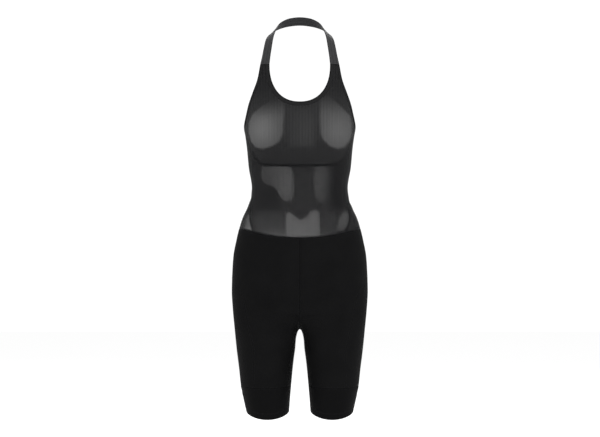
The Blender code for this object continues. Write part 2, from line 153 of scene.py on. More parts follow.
# Cells in the panels' grids
BIB_COLUMNS, BIB_ROWS, BIB_BACK_COLUMNS = 48, 72, 96
ARMHOLE_COLUMNS, ARMHOLE_ROWS, CHEST_ROWS = 66, 30, 34
FRONT_COLUMNS, SIDE_COLUMNS, BACK_COLUMNS, INNER_COLUMNS = 64, 42, 26, 26
HIP_ROWS, CROTCH_ROWS, LEG_ROWS = 62, 28, 28
BAND_COLUMNS, BAND_ROWS = 128, 20
BAND_FIRST_SHARES, BAND_SHARES, BAND_LAST_SHARES = (0, 0.008, 0.02), (0.045, 0.955), (0.98, 0.992, 1)
BIB_FIRST_SHARES, BIB_SHARES = (0, 0.002, 0.005), (0.01, 1)
STRAP_STATIONS = 190
EDGE_STEPS = (0.5, 1.1, 2.0)
ROUND_COLUMNS, ROUND_ROWS, ROUND_TOP, ROUND_FOOT = 161, 46, -110, -560

# Stitches: their size, then how far the rows lie from a seam, from a hem, from a binding's inner
# edge (a share of its width) and from the strap's end
STITCH_PITCH, STITCH_LENGTH, STITCH_WIDTH, STITCH_HEIGHT = 2.7, 2.1, 0.5, 0.3
STITCH_SHOULDER, STITCH_LIFT, SHORTEST_STITCH = 0.3, 0.02, 0.5
SEAM_ROW = 2.3
HEM_ROWS = (13.0, 15.2)
BINDING_ROWS, BINDING_ROW_LIFT = (0.2, 0.45), 1.8
STRAP_ROWS, STRAP_ROW_REACH, STRAP_ROW_POINTS, STRAP_ROW_LIFT = (4.0, 8.5), 0.43, 12, 2.5

MIRROR = ((1, 1, 1), (-1, 1, 1))
SIDES = (("left", 1), ("right", -1))


# The surface
def smooth(rows, column, at):
    """Read one column of a table at any height, by a cubic that never overshoots its rows."""
    table = np.array(rows, dtype=float)
    table = table[np.argsort(table[:, 0])]
    x, y = table[:, 0], table[:, column]
    step = np.diff(x)
    slope = np.diff(y) / step
    tangent = np.zeros(len(x))
    tangent[0], tangent[-1] = slope[0], slope[-1]
    for i in range(1, len(x) - 1):
        if slope[i - 1] * slope[i] > 0:
            before = 2 * step[i] + step[i - 1]
            after = step[i] + 2 * step[i - 1]
            tangent[i] = (before + after) / (before / slope[i - 1] + after / slope[i])
    at = np.asarray(at, dtype=float)
    i = np.clip(np.searchsorted(x, at) - 1, 0, len(x) - 2)
    t = np.clip((at - x[i]) / step[i], 0.0, 1.0)
    return ((1 + 2 * t) * (1 - t) ** 2 * y[i] + t * (1 - t) ** 2 * step[i] * tangent[i]
            + t * t * (3 - 2 * t) * y[i + 1] - t * t * (1 - t) * step[i] * tangent[i + 1])


def read(rows, columns, name, at):
    return smooth(rows, columns.index(name), at)


def power(value, exponent):
    return np.sign(value) * np.abs(value) ** exponent


def body_point(u, z):
    """A point on the bib or the hips."""
    u, z = np.broadcast_arrays(np.asarray(u, dtype=float), np.asarray(z, dtype=float))
    half_width, front, side, back, squareness = (
        read(BODY, BODY_COLUMNS, name, z) for name in BODY_COLUMNS[1:])
    across = power(np.sin(math.pi * u), 2 / squareness)
    along = power(np.cos(math.pi * u), 2 / squareness)
    depth = np.where(along > 0, side - front, back - side)
    return np.stack([half_width * across, side - depth * along, z], axis=-1)


def body_u(x, z):
    """The u of the front point that lies x from the centre."""
    half_width = read(BODY, BODY_COLUMNS, "half_width", z)
    squareness = read(BODY, BODY_COLUMNS, "power", z)
    return np.arcsin(np.clip(x / half_width, 0, 1) ** (squareness / 2)) / math.pi


def body_slopes(u, z):
    """How far the surface runs for a change of u and of z."""
    along_u = (body_point(u + SMALL_U, z) - body_point(u - SMALL_U, z)) / (2 * SMALL_U)
    along_z = (body_point(u, z + SMALL_Z) - body_point(u, z - SMALL_Z)) / (2 * SMALL_Z)
    return along_u, along_z


def body_normal(u, z):
    normal = np.cross(*body_slopes(u, z))
    return normal / np.linalg.norm(normal, axis=-1, keepdims=True)


def leg_angle(u):
    """The turn round a leg's section at u, from 0 at its front."""
    start = INNER_THIGH_ARC / 2 - 90
    inner_front = start + INNER_THIGH_ARC * u
    outer_side = start + (180 - 2 * start) * u
    inner_back = 180 - start + INNER_THIGH_ARC * (u - 1)
    return np.radians(np.where(u < 0, inner_front, np.where(u > 1, inner_back, outer_side)))


def leg_point(u, z):
    """A point on the leg at +X."""
    u, z = np.broadcast_arrays(np.asarray(u, dtype=float), np.asarray(z, dtype=float))
    inner, outer, front, back = (read(LEG, LEG_COLUMNS, name, z) for name in LEG_COLUMNS[1:])
    angle = leg_angle(u)
    x = (inner + outer) / 2 + (outer - inner) / 2 * np.sin(angle)
    y = (front + back) / 2 - (back - front) / 2 * np.cos(angle)
    return np.stack([x, y, z], axis=-1)


def split_point(u):
    """The row where the hips part into legs: half a hip ring, closed below by the crotch seam."""
    u = np.asarray(u, dtype=float)
    front = read(BODY, BODY_COLUMNS, "front", SPLIT_Z)
    back = read(BODY, BODY_COLUMNS, "back", SPLIT_Z)
    ring = body_point(np.clip(u, 0, 1), SPLIT_Z)
    turn = math.pi * np.where(u < 0, -u, u - 1)
    towards = np.where(u < 0, -1, 1)
    seam = np.stack([np.zeros_like(u), (front + back) / 2 + towards * (back - front) / 2 * np.cos(turn),
                     SPLIT_Z + (CROTCH_Z - SPLIT_Z) * np.sin(turn)], axis=-1)
    outside = ((u < 0) | (u > 1))[..., None]
    return np.where(outside, seam, ring)


def crotch_point(u, share):
    """Between the split row at share 0 and the top of the leg at share 1."""
    u, share = np.broadcast_arrays(np.asarray(u, dtype=float), np.asarray(share, dtype=float))
    start, end = split_point(u), leg_point(u, LEG_TOP_Z)
    beyond = np.clip(np.minimum(u, 1 - u), 0, None)
    weight = np.cos(math.pi / 2 * np.clip(beyond / SADDLE_REACH, 0, 1)) ** 2
    across = (1 - weight) * share + weight * np.sin(math.pi / 2 * share)
    down = (1 - weight) * share + weight * (1 - np.cos(math.pi / 2 * share))
    part = np.stack([across, share, down], axis=-1)
    return start + (end - start) * part


def leg_hem_z(u):
    return HEM_Z - HEM_DIP * np.clip(np.cos(leg_angle(u)), 0, 1) ** HEM_POWER


def waist_z(u):
    """Height of the seam between bib and shorts."""
    towards_front = np.cos(math.pi * np.asarray(u, dtype=float))
    dip = WAIST_DIP * np.clip(towards_front, 0, 1) ** WAIST_POWER
    return WAIST_Z - dip - WAIST_BACK_DIP * np.clip(-towards_front, 0, 1) ** WAIST_POWER


def shorts_surface(u, z):
    """Hips, crotch or leg, whichever lies at this height."""
    if z >= SPLIT_Z:
        return body_point(u, z)
    if z > LEG_TOP_Z:
        return crotch_point(u, (z - SPLIT_Z) / (LEG_TOP_Z - SPLIT_Z))
    return leg_point(u, z)


def run_along(points, axis=0):
    """Distances along lines of points, from 0 at their first."""
    steps = np.linalg.norm(np.diff(points, axis=axis), axis=-1)
    return np.insert(np.cumsum(steps, axis=axis), 0, 0, axis=axis)


# Heights, and distances round the body from the centre front on a grid of height and u
ROUND_Z = np.linspace(ROUND_TOP, ROUND_FOOT, ROUND_ROWS)
ROUND_MM = run_along(body_point(np.linspace(0, 1, ROUND_COLUMNS)[None, :], ROUND_Z[:, None]), 1)


def round_mm(u, z):
    """Distance round the body from the centre front at (u, z)."""
    column = np.clip(u, 0, 1) * (ROUND_COLUMNS - 1)
    row = np.clip((z - ROUND_Z[0]) / (ROUND_Z[1] - ROUND_Z[0]), 0, ROUND_ROWS - 1.001)
    i, j = np.floor(row).astype(int), np.clip(np.floor(column).astype(int), 0, ROUND_COLUMNS - 2)
    s, t = row - i, column - j
    return ((1 - s) * ((1 - t) * ROUND_MM[i, j] + t * ROUND_MM[i, j + 1])
            + s * ((1 - t) * ROUND_MM[i + 1, j] + t * ROUND_MM[i + 1, j + 1]))


# Lines on the surface
def spread(first, last, cells):
    return np.linspace(first, last, cells + 1)


def seam_speed(surface, u, z, slope=0.0):
    """Millimetres that the surface runs for a change of u, less where the seam slopes."""
    step = surface(u + SMALL_U, z) - surface(u - SMALL_U, z)
    speed = np.linalg.norm(step, axis=-1) / (2 * SMALL_U)
    return speed / np.hypot(1, slope * speed)


def seam_at(table, surface, z):
    """The u of a seam at one height, and the speed there. A plain number is a straight seam's u."""
    if isinstance(table, float):
        return table, seam_speed(surface, table, z)
    slope = smooth(table, 1, z + 0.5) - smooth(table, 1, z - 0.5)
    u = smooth(table, 1, z)
    return u, seam_speed(surface, u, z, slope)


def columns_between(first, last, cells, first_edge=True, last_edge=True):
    """The u of each column of a row, with finer columns beside edges that are seams."""
    (u0, speed0), (u1, speed1) = first, last
    u0 = u0 + (SEAM_GAP / 2 / speed0 if first_edge else 0)
    u1 = u1 - (SEAM_GAP / 2 / speed1 if last_edge else 0)
    head = [u0 + step / speed0 for step in EDGE_STEPS] if first_edge else []
    tail = [u1 - step / speed1 for step in EDGE_STEPS[::-1]] if last_edge else []
    inner = spread(head[-1] if head else u0, tail[0] if tail else u1, cells)
    row = ([u0] + head[:-1] if head else []) + list(inner) + (tail[1:] + [u1] if tail else [])
    return np.array(row)


def edge_inset(line, width):
    """The line on the body that runs beside an edge, given as (u, z) points, at a distance."""
    inset = []
    for i, (u, z) in enumerate(line):
        before, after = line[max(i - 1, 0)], line[min(i + 1, len(line) - 1)]
        slopes = body_slopes(u, z)
        away = np.cross(body_point(*after) - body_point(*before), np.cross(*slopes))
        away *= width / np.linalg.norm(away)
        step = np.linalg.lstsq(np.stack(slopes, axis=1), away, rcond=None)[0]
        inset.append((u + step[0], z + step[1]))
    return np.array(inset)


def neckline():
    turn = spread(0, math.pi / 2, BIB_COLUMNS + ARMHOLE_COLUMNS - ARMHOLE_ROWS)
    x = NECKLINE_HALF_WIDTH * np.sin(turn) ** (2 / NECKLINE_POWER)
    depth = STRAP_END_Z - NECKLINE_Z
    z = STRAP_END_Z - depth * np.clip(np.cos(turn), 0, 1) ** (2 / NECKLINE_POWER)
    return np.stack([body_u(x, z), z], axis=-1)


def armhole():
    rows = [(i, z, float(body_u(x, z))) for i, (z, x) in enumerate(ARMHOLE)]
    at = spread(0, len(ARMHOLE) - 1, ARMHOLE_COLUMNS)
    return np.stack([smooth(rows, 2, at), smooth(rows, 1, at)], axis=-1)


def back_top():
    u = spread(SIDE_U, 2 - SIDE_U, BIB_BACK_COLUMNS + 2 * len(EDGE_STEPS))
    share = np.clip((0.5 - np.abs(u - 1)) / BACK_DIP_REACH, 0, 1)
    dip = (1 - share) ** 2 * share * BACK_DIP_START + share ** 2 * (3 - 2 * share)
    return np.stack([u, UNDERARM_Z + (BACK_TOP_Z - UNDERARM_Z) * dip], axis=-1)


def neck_inset(width):
    line = edge_inset(neckline(), width)
    line[0, 0] = 0
    line[-1, 1] = STRAP_END_Z
    return line


def meet(line, u):
    order = np.argsort(line[:, 0])
    return u, float(np.interp(u, line[order, 0], line[order, 1]))


def arm_inset(width):
    line = edge_inset(armhole(), -width)
    line[0] = meet(line, SIDE_U)
    line[-1, 1] = STRAP_END_Z
    return line


def back_inset(width):
    line = edge_inset(back_top(), width)
    line[0], line[-1] = meet(line, SIDE_U), meet(line, 2 - SIDE_U)
    return line


# Openness of the bib's knit, with painted highlights and painted shade worked into it
# Painted highlights: areas of the front that let more light through so that they read as lit, as outlines
# of (x, z) seen from the front.
# "low" and "high" are the shares of light that one layer lets through, high at the middle of its
# "glow" (x, z and how far it reaches each way), "soft" the width of the border, and "fade" the two
# heights between which the area comes in from above.
ZONE_COLUMNS = ("low", "high", "glow", "soft", "fade", "outline")
HIGHLIGHT_ZONES = (
    (0.058, 0.128, (-87, -269, 34, 39), 4, (-196, -248), (
        (-118, -252), (-108, -231), (-85, -215), (-57, -200), (-36, -196), (-35, -230),
        (-37, -253), (-39, -281), (-47, -299), (-64, -309), (-84, -314), (-101, -310),
        (-112, -297), (-119, -274),
    )),
    (0.056, 0.105, (88, -273, 37, 42), 7, (-184, -240), (
        (48, -189), (69, -193), (95, -217), (115, -235), (121, -255), (121, -276), (115, -294),
        (104, -308), (88, -314), (69, -309), (53, -294), (48, -281), (46, -244),
    )),
    (0.021, 0.030, (14, -276, 26, 41), 16, (-214, -245), (
        (-22, -221), (33, -221), (33, -310), (-22, -310),
    )),
    (0.092, 0.180, (-29, -395, 30, 60), 4, (-348, -353), (
        (-89, -353), (-68, -353), (-39, -353), (-25, -355), (-18, -363), (-14, -382), (-14, -409),
        (-17, -432), (-25, -435), (-36, -433), (-44, -425), (-50, -414), (-57, -402), (-68, -399),
        (-81, -395), (-89, -382),
    )),
    (0.055, 0.122, (42, -393, 21, 60), 3, (-348, -353), (
        (36, -354), (56, -353), (76, -354), (88, -361), (81, -382), (72, -400), (62, -423),
        (57, -435), (42, -436), (36, -427), (33, -405), (33, -377),
    )),
    (0.225, 0.275, (0, -510, 57, 32), 4, (-446, -460), (
        (-32, -469), (-29, -461), (-25, -460), (-18, -463), (-9, -472), (2, -479), (14, -473),
        (23, -461), (31, -455), (39, -455), (45, -462), (46, -526), (0, -531), (-32, -526),
    )),
    (0.085, 0.20, (-55, -524, 37, 21), 14, (-446, -487), (
        (-107, -460), (-34, -453), (-25, -531), (-73, -531), (-107, -515),
    )),
    (0.06, 0.11, (51, -524, 28, 21), 12, (-450, -483), (
        (42, -460), (83, -462), (83, -526), (42, -531),
    )),
    (0.12, 0.165, (101, -476, 14, 18), 5, (-446, -462), (
        (84, -499), (90, -476), (104, -456), (116, -456), (116, -478), (108, -492), (95, -503),
    )),
)
# The share of light let through elsewhere on the front, by height; its dip from -305 to -345 is a painted
# shadow under the chest
DENSE_COLUMNS = ("z", "lets")
DENSE_AND_SHADOW = (
    (-110, 0.004), (-165, 0.006), (-200, 0.013), (-222, 0.018), (-245, 0.020), (-285, 0.018),
    (-305, 0.012), (-325, 0.011), (-345, 0.009), (-349, 0.020), (-354, 0.040), (-520, 0.044),
)
# In the middle, out to these distances, the heights of that table lie lower, so that the painted shadow
# under the chest dips there
DENSE_DROP, MIDDLE_FADE = 8.0, (16, 44)
# Painted shade darkens the sides of the waist, from this depth below the nape down to this height
WAIST_IN, WAIST_OUT = (340, 352), (-466, -444)
RIGHT_SHADE, RIGHT_FADE = 0.6, (30, 56)
LEFT_SHADE, LEFT_FADE = 0.92, (58, 84)
# Painted shade also darkens the cloth where it turns away from the front, from these shares of the half
# width
TURN_SHADE, FRONT_TURN, BACK_TURN = 0.7, 0.90, 0.84
# The back, and the part of it that lies in front of the side
BACK_LETS, BACK_LETS_FRONT, BACK_FADE = 0.36, 0.035, (4, 20)
BACK_RIGHT_SHARE, BACK_RIGHT_FADE = 0.8, (-474, -456)


def outline_distance(x, z, outline):
    """Distance inside (positive) or outside an outline."""
    corners = np.array(outline, dtype=float)
    ends = np.roll(corners, -1, axis=0)
    nearest = np.full(x.shape, 1e9)
    inside = np.zeros(x.shape, dtype=bool)
    for (x0, z0), (wide, tall) in zip(corners, ends - corners):
        t = np.clip(((x - x0) * wide + (z - z0) * tall) / (wide ** 2 + tall ** 2), 0, 1)
        nearest = np.minimum(nearest, np.hypot(x - x0 - t * wide, z - z0 - t * tall))
        if tall:
            inside ^= ((z0 > z) != (z0 + tall > z)) & (x < wide * (z - z0) / tall + x0)
    return np.where(inside, nearest, -nearest)


def ramp(value, low, high):
    t = np.clip((value - low) / (high - low), 0, 1)
    return t * t * (3 - 2 * t)


def painted_turn_shade(x, z, start):
    """The share of light that is left under the painted shade where the cloth turns away from the front."""
    half_width = read(BODY, BODY_COLUMNS, "half_width", z)
    return 1 - TURN_SHADE * ramp(np.abs(x) / half_width, start, 1.0)


def front_lets(points):
    """The share of light that the bib's front lets through at each point, with its painted highlights and
    painted shade.
    """
    x, z = points[:, 0], points[:, 2]
    middle = 1 - ramp(np.abs(x), *MIDDLE_FADE)
    waist = ramp(-z, *WAIST_IN) * ramp(z, *WAIST_OUT)
    # dense: the base share of the knit, with the painted shadow under the chest in it
    dense = read(DENSE_AND_SHADOW, DENSE_COLUMNS, "lets", z + DENSE_DROP * middle)
    # Painted shade on the right side of the waist
    dense *= 1 - RIGHT_SHADE * ramp(-x, *RIGHT_FADE) * waist
    lets = dense
    # Painted highlights: each area lets more light through, most at the middle of its glow
    for row in HIGHLIGHT_ZONES:
        zone = dict(zip(ZONE_COLUMNS, row))
        glow_x, glow_z, wide, tall = zone["glow"]
        glow = np.exp(-((x - glow_x) / wide) ** 2 - ((z - glow_z) / tall) ** 2)
        share = zone["low"] + (zone["high"] - zone["low"]) * glow
        soft, (fade_start, fade_end) = zone["soft"] / 2, zone["fade"]
        inside = ramp(outline_distance(x, z, zone["outline"]), -soft, soft)
        inside *= ramp(-z, -fade_start, -fade_end)
        lets = np.maximum(lets, dense + (share - dense) * inside)
    # Painted shade on the left side of the waist
    shaded = ramp(x, *LEFT_FADE) * waist
    return lets * painted_turn_shade(x, z, FRONT_TURN) * (1 - LEFT_SHADE * shaded)


def back_lets(points):
    """The same for the back, which lets less light through where it turns to the front, and has the same
    painted shade where it turns away.
    """
    x, y, z = points.T
    side = read(BODY, BODY_COLUMNS, "side", z)
    share = np.where(x > 0, 1, BACK_RIGHT_SHARE * ramp(z, *BACK_RIGHT_FADE))
    lets = BACK_LETS + (BACK_LETS_FRONT - BACK_LETS) * ramp(side - y, *BACK_FADE) * share
    return lets * painted_turn_shade(x, z, BACK_TURN)


# Creases
# Soft troughs and ridges, each along a line of (u, z) points on one side of the shorts or bib:
# side of the body, half width of the trough, its depth (a ridge where negative), the line.
CREASE_COLUMNS = ("side", "reach", "depth", "line")
CREASES = (
    (1, 5.0, 0.9, ((0.03, -704), (0.09, -712), (0.15, -716), (0.21, -712))),
    (-1, 5.5, 1.0, ((0.04, -700), (0.10, -709), (0.17, -711), (0.23, -705))),
    (1, 4.0, 0.7, ((0.02, -726), (0.08, -738), (0.14, -746))),
    (-1, 4.5, 0.6, ((0.03, -730), (0.09, -744), (0.13, -752))),
    (1, 6.0, 0.8, ((0.55, -640), (0.63, -654), (0.72, -664))),
    (-1, 6.0, 0.9, ((0.53, -646), (0.62, -658), (0.74, -672))),
    (1, 5.0, 1.1, ((0.78, -706), (0.86, -718), (0.94, -724), (0.99, -722))),
    (-1, 5.5, 1.2, ((0.76, -700), (0.85, -714), (0.93, -719), (0.98, -716))),
    (1, 4.5, 0.8, ((0.80, -728), (0.88, -739), (0.96, -744))),
    (-1, 5.0, 0.7, ((0.79, -724), (0.87, -734), (0.95, -741))),
    (1, 5.0, 0.7, ((0.84, -792), (0.92, -800), (1.02, -802))),
    (-1, 4.5, 0.8, ((0.82, -798), (0.91, -808), (1.00, -809))),
    (1, 6.0, 0.7, ((0.42, -428), (0.50, -436), (0.60, -438))),
    (-1, 5.5, 0.8, ((0.43, -420), (0.52, -427), (0.62, -430))),
    (1, 5.0, 0.6, ((0.50, -398), (0.60, -404), (0.72, -404))),
    (-1, 5.5, 0.7, ((0.52, -404), (0.63, -411), (0.75, -412))),
    (1, 6.0, 0.8, ((0.80, -404), (0.90, -412), (1.00, -415))),
    (-1, 6.0, 0.7, ((0.82, -420), (0.91, -429), (1.00, -431))),
    (1, 4.5, 0.5, ((0.30, -884), (0.42, -889), (0.52, -886))),
    (-1, 4.0, 0.5, ((0.34, -880), (0.45, -884), (0.56, -882))),
)
CREASE_POINTS, CREASE_FADE, CREASE_BOX, MIDDLE_SLACK = 48, 0.8, 4, 2
RIDGE_SHARE, RIDGE_AT = 0.42, 2.1


def crease_lines():
    """Each crease with its line as dense points in space, and its fade towards its ends."""
    lines = []
    at = np.linspace(0, 1, CREASE_POINTS)
    for row in CREASES:
        crease = dict(zip(CREASE_COLUMNS, row))
        knots = np.array(crease["line"], dtype=float)
        rows = np.column_stack([np.linspace(0, 1, len(knots)), knots])
        u, z = smooth(rows, 1, at), smooth(rows, 2, at)
        points = np.array([shorts_surface(a, b) for a, b in zip(u, z)]) * (crease["side"], 1, 1)
        fade = np.sin(math.pi * at) ** CREASE_FADE
        lines.append((crease["side"], crease["reach"], crease["depth"], points, fade))
    return lines


CREASE_LINES = crease_lines()


def crease_depth(points):
    """How far the creases sink each point, with low ridges beside each trough."""
    depth = np.zeros(len(points))
    for side, reach, deep, line, fade in CREASE_LINES:
        low, high = line.min(axis=0) - CREASE_BOX * reach, line.max(axis=0) + CREASE_BOX * reach
        near = np.all((points > low) & (points < high), axis=1) & (points[:, 0] * side > -MIDDLE_SLACK)
        if not near.any():
            continue
        gaps = np.linalg.norm(points[near][:, None, :] - line[None], axis=-1)
        nearest = gaps.argmin(axis=1)
        t = gaps[np.arange(len(nearest)), nearest] / reach
        shape = np.exp(-t * t) - RIDGE_SHARE * np.exp(-(t - RIDGE_AT) ** 2)
        depth[near] += deep * fade[nearest] * shape
    return depth


# Materials
# Colours are pairs of one number for red and green and one for blue. "bump" is its strength and
# distance in metres, "cloud" the scale of a soft noise, and "rough" the ends of the roughness there.
FINISH_COLUMNS = ("colour", "dark", "light", "roughness", "specular", "sheen", "bump", "cloud", "rough")
FINISHES = {
    "sheer_mesh": ((0.006, 0.0065), (0.0045, 0.005), (0.0085, 0.009), 0.62, 0.05, (0.0, 0.5),
                   (0.35, 0.0004), None, None),
    "dense_jersey": ((0.0034, 0.0036), (0.0027, 0.0029), (0.0055, 0.0057), 0.78, 0.035, (0.0, 0.5),
                     (0.3, 0.0003), 22.0, (0.72, 0.84)),
    "leg_band_knit": ((0.003, 0.0032), (0.0021, 0.0023), (0.0046, 0.0048), 0.70, 0.03, (0.0, 0.5),
                      (0.3, 0.0003), 30.0, (0.64, 0.76)),
    # The binding's dark grey is its painted shade round the fold
    "folded_binding": ((0.005, 0.0055), (0.0014, 0.0015), (0.0135, 0.014), 0.72, 0.05, (0.0, 0.5),
                       (0.35, 0.0003), None, None),
    "ribbed_elastic": ((0.02, 0.0215), (0.004, 0.0045), (0.034, 0.036), 0.55, 0.16, (0.03, 0.35),
                       (0.4, 0.0003), 60.0, (0.50, 0.60)),
    "black_thread": ((0.010, 0.011), (0.006, 0.0065), (0.015, 0.016), 0.6, 0.08, (0.0, 0.5),
                     None, 900.0, None),
}
# Pitches of each knit's ribs, loops and lines, in millimetres
MESH_RIB, MESH_WIDE, MESH_FINE, MESH_COURSE = 7.2, 11.6, 1.2, 1.3
WIDE_SHIFT, STREAK_SHIFT, FINE_RELIEF, CLOUD_DETAIL = 0.8, 0.6, 0.4, 2.0
JERSEY_WALE, JERSEY_COURSE = 1.1, 0.9
BAND_RIB, BINDING_RIB = 1.6, 1.2
ELASTIC_WEFT, ELASTIC_STREAK = 1.0, 7.3
# How much these change the light that the mesh lets through, and the shade of binding and elastic, with
# painted shade round the binding's fold
RIB_LETS, WIDE_LETS, LOOP_LETS = (0.92, 1.08), (0.96, 1.04), (0.85, 1.30)
FOLD_PAINTED_BAND, FOLD_PAINTED_FALLOFF, FOLD_PAINTED_SHADE, BINDING_RIB_SHADE = 1.2, 0.4, (0.08, 1.0), (0.6, 1.0)
ELASTIC_RIB_SHADE, STREAK_SHADE, WEFT_SHADE = (0.45, 1.0), (0.6, 1.0), (0.75, 1.0)


def rgba(grey, blue):
    return grey, grey, blue, 1.0


class Shader:
    """A small helper that adds nodes to one material and links them."""

    def __init__(self, name):
        self.finish = dict(zip(FINISH_COLUMNS, FINISHES[name]))
        self.material = bpy.data.materials.new(name)
        self.material.use_nodes = True
        self.tree = self.material.node_tree
        self.surface = self.tree.nodes["Principled BSDF"]
        sheen, sheen_roughness = self.finish["sheen"]
        self.set("Base Color", rgba(*self.finish["colour"]))
        self.set("Roughness", self.finish["roughness"])
        self.set("Specular IOR Level", self.finish["specular"])
        self.set("Sheen Weight", sheen)
        self.set("Sheen Roughness", sheen_roughness)

    def fill(self, socket, value):
        if hasattr(value, "is_output"):
            self.tree.links.new(value, socket)
        else:
            socket.default_value = value

    def set(self, name, value):
        self.fill(self.surface.inputs[name], value)

    def add(self, kind, inputs=(), output=0, **settings):
        node = self.tree.nodes.new(kind)
        for name, value in settings.items():
            setattr(node, name, value)
        for key, value in dict(inputs).items():
            self.fill(node.inputs[key], value)
        return node.outputs[output]

    def math(self, operation, first, second=0.0):
        return self.add("ShaderNodeMath", {0: first, 1: second}, operation=operation)

    def uv(self):
        """The cloth's own coordinates in millimetres, across and along."""
        place = self.add("ShaderNodeUVMap", uv_map="cloth_mm")
        parts = self.tree.nodes.new("ShaderNodeSeparateXYZ")
        self.tree.links.new(place, parts.inputs[0])
        return parts.outputs[0], parts.outputs[1]

    def wave(self, coordinate, pitch, shift=0.0):
        """A wave from 0 to 1 with its period in millimetres."""
        turn = self.math("MULTIPLY", coordinate, 2 * math.pi / pitch)
        return self.math("MULTIPLY_ADD", self.math("SINE", self.math("ADD", turn, shift)), 0.5)

    def cloud(self):
        """Soft noise, which also sets the roughness where the finish gives its ends."""
        place = self.add("ShaderNodeTexCoord", output=3)
        inputs = {"Vector": place, "Scale": self.finish["cloud"], "Detail": CLOUD_DETAIL}
        cloud = self.add("ShaderNodeTexNoise", inputs)
        if self.finish["rough"]:
            self.set("Roughness", self.between(cloud, *self.finish["rough"]))
        return cloud

    def between(self, share, low, high):
        """A number that goes from low to high as share goes from 0 to 1."""
        return self.add("ShaderNodeMapRange", {0: share, 3: low, 4: high})

    def times(self, first, *others):
        for other in others:
            first = self.math("MULTIPLY", first, other)
        return first

    def tint(self, share):
        """Colour the surface from its dark to its light grey as share goes from 0 to 1."""
        mix = self.tree.nodes.new("ShaderNodeMix")
        mix.data_type = "RGBA"
        colours = [socket for socket in mix.inputs if socket.type == "RGBA"]
        for socket, name in zip(colours, ("dark", "light")):
            socket.default_value = rgba(*self.finish[name])
        self.tree.links.new(share, mix.inputs[0])
        self.set("Base Color", [socket for socket in mix.outputs if socket.type == "RGBA"][0])

    def bump(self, height):
        strength, distance = self.finish["bump"]
        inputs = {"Height": height, "Strength": strength, "Distance": distance}
        self.set("Normal", self.add("ShaderNodeBump", inputs))


def mesh_material():
    """Sheer warp-knit mesh: soft vertical ribs, and an openness read from the cloth, which carries the
    bib's painted highlights and painted shade.
    """
    shader = Shader("sheer_mesh")
    across, along = shader.uv()
    rib = shader.wave(across, MESH_RIB)
    wide = shader.wave(across, MESH_WIDE, WIDE_SHIFT)
    fine = shader.wave(across, MESH_FINE)
    course = shader.wave(along, MESH_COURSE)
    lets = shader.add("ShaderNodeAttribute", attribute_name="lets", output=2)
    ribs = shader.times(shader.between(rib, *RIB_LETS), shader.between(wide, *WIDE_LETS))
    loops = shader.between(shader.times(fine, course), *LOOP_LETS)
    knit = shader.times(shader.times(lets, ribs), loops)
    shader.set("Alpha", shader.math("SUBTRACT", 1.0, shader.math("POWER", knit, 0.5)))
    shader.tint(rib)
    shader.bump(shader.math("ADD", rib, shader.times(shader.math("ADD", fine, course), FINE_RELIEF)))
    return shader.material


def jersey_material():
    """Dense matt stretch knit with fine wales and courses."""
    shader = Shader("dense_jersey")
    across, along = shader.uv()
    shader.tint(shader.cloud())
    shader.bump(shader.times(shader.wave(across, JERSEY_WALE), shader.wave(along, JERSEY_COURSE)))
    return shader.material


def band_material():
    """Smooth compression band, a little glossier, with fine lengthwise ribs."""
    shader = Shader("leg_band_knit")
    rib = shader.wave(shader.uv()[0], BAND_RIB)
    shader.tint(rib)
    shader.cloud()
    shader.bump(rib)
    return shader.material


def binding_material():
    """Folded stretch binding with a fine cross rib, and painted shade that darkens it round its fold."""
    shader = Shader("folded_binding")
    across, along = shader.uv()
    rib = shader.wave(along, BINDING_RIB)
    # Painted shade: darkest at the fold, gone a few millimetres from it
    fold = shader.times(shader.math("SUBTRACT", across, FOLD_PAINTED_BAND), FOLD_PAINTED_FALLOFF)
    shader.tint(shader.times(shader.between(fold, *FOLD_PAINTED_SHADE), shader.between(rib, *BINDING_RIB_SHADE)))
    shader.bump(rib)
    return shader.material


def elastic_material():
    """Woven elastic: lengthwise ribs crossed by fine weft lines, with a soft sheen."""
    shader = Shader("ribbed_elastic")
    across, along = shader.uv()
    weft = shader.wave(along, ELASTIC_WEFT)
    rib = shader.wave(across, STRAP_WIDTH / STRAP_RIBS, math.pi)
    streak = shader.wave(across, ELASTIC_STREAK, STREAK_SHIFT)
    shader.tint(shader.times(shader.between(rib, *ELASTIC_RIB_SHADE), shader.between(streak, *STREAK_SHADE),
                             shader.between(weft, *WEFT_SHADE)))
    shader.cloud()
    shader.bump(weft)
    return shader.material


def thread_material():
    shader = Shader("black_thread")
    shader.tint(shader.cloud())
    return shader.material


# Meshes
def quad_faces(rows, columns, start):
    corner = (np.arange(rows - 1)[:, None] * columns + np.arange(columns - 1)[None]).ravel() + start
    return np.stack([corner, corner + columns, corner + columns + 1, corner + 1], axis=1)


def weld(points, faces):
    """Join points that coincide."""
    keys = np.round(points / WELD_STEP).astype(np.int64)
    _, first, inverse = np.unique(keys, axis=0, return_index=True, return_inverse=True)
    return points[first], inverse.ravel()[faces]


def face_edges(faces):
    """The edges of a mesh, and how many faces share each."""
    edges = np.concatenate([faces[:, [i, (i + 1) % 4]] for i in range(4)])
    return np.unique(np.sort(edges, axis=1), axis=0, return_counts=True)


def boundary_points(points, faces):
    """Dense points along the open edges of a mesh."""
    edges, counts = face_edges(faces)
    dense = []
    for start, end in points[edges[counts == 1]]:
        pieces = max(2, int(np.linalg.norm(end - start) / BOUNDARY_STEP) + 1)
        dense.append(start + (end - start) * np.linspace(0, 1, pieces)[:, None])
    return np.concatenate(dense)


def distance_to(targets, points):
    tree = KDTree(len(targets))
    for i, target in enumerate(targets):
        tree.insert(target, i)
    tree.balance()
    return np.array([tree.find(point)[2] for point in points])


